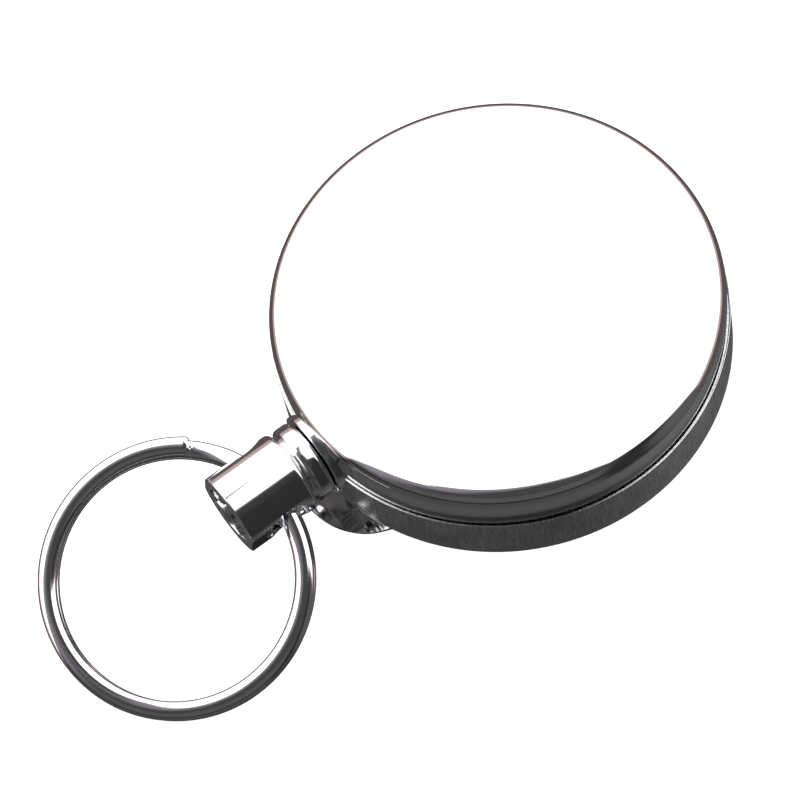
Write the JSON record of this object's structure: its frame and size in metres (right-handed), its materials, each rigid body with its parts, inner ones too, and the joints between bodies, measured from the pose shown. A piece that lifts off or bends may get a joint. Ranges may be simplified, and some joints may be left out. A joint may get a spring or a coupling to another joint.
{
  "type": "retractable badge reel",
  "caption": "Round chromed badge reel: spring-wound cable, swivelling barrel with a split ring, and a sprung belt clip on the back.",
  "frame": {"origin": "on the case's axis, at the underside of the clip, where the reel lies on a table", "axes": "+Z is the case's axis, out of the front face; the cable leaves the case along -Y; +X is to the right seen from the front with the cable downwards"},
  "size_m": [0.04, 0.0677, 0.013],
  "materials": {
    "chrome": "bright chrome plate",
    "mirror_plate": "polished to a mirror",
    "brushed_case": "chromed over faint brushing along the axis",
    "ring_steel": "nickel-plated wire",
    "steel": "zinc-plated",
    "spring_steel": "blued spring steel",
    "cable_steel": "stranded wire rope",
    "brass": "bare brass",
    "acetal": "moulded"
  },
  "bodies": {
    "case": {"front_cover": "chrome", "face_plate": "mirror_plate", "rear_case": "brushed_case", "cable_bushing": "chrome", "bushing_eyelet": "brass", "center_post": "steel", "retaining_ring": "spring_steel", "lower_washer": "brass", "upper_washer": "brass", "clip_base": "chrome", "clip_rivet_upper": "steel", "clip_rivet_lower": "steel", "cable_inner_run": "cable_steel"},
    "spool": {"spool_drum": "acetal", "spool_flange": "acetal", "spring_cover": "steel", "mainspring": "spring_steel", "cable_wound": "cable_steel", "cable_anchor": "brass"},
    "cable_end": {"cable_outer_run": "cable_steel", "cable_stop": "brass"},
    "barrel": {"barrel_collar": "chrome", "ring_barrel": "chrome"},
    "ring": {"split_ring": "ring_steel"},
    "clip": {"clip_arm": "chrome"}
  },
  "joints": [
    {"name": "cable_pull", "type": "slide", "parent": "case", "child": "cable_end", "axis": [0, -1, 0], "range_m": [0, 0.6], "stiffness_N_per_m": 3, "springref_m": -0.4},
    {"name": "spool_spin", "type": "hinge", "parent": "case", "child": "spool", "pos_m": [0, 0, 0.008], "axis": [0, 0, 1], "range_deg": [0, 2600], "deforming": ["mainspring"]},
    {"name": "barrel_swivel", "type": "hinge", "parent": "cable_end", "child": "barrel", "pos_m": [0, -0.02225, 0.0082], "axis": [0, -1, 0], "continuous": true},
    {"name": "ring_swing", "type": "hinge", "parent": "barrel", "child": "ring", "pos_m": [0, -0.025, 0.0082], "axis": [0.9631, 0.1219, -0.2401], "range_deg": [-100, 70]},
    {"name": "clip_flex", "type": "hinge", "parent": "case", "child": "clip", "pos_m": [0, 0.0161, 0.00155], "axis": [1, 0, 0], "range_deg": [0, 9], "stiffness_Nm_per_rad": 1.6, "springref_deg": -2.86}
  ],
  "couplings": [
    {"joint": "spool_spin", "follows": "cable_pull", "rad_per_m": 74.8}
  ]
}
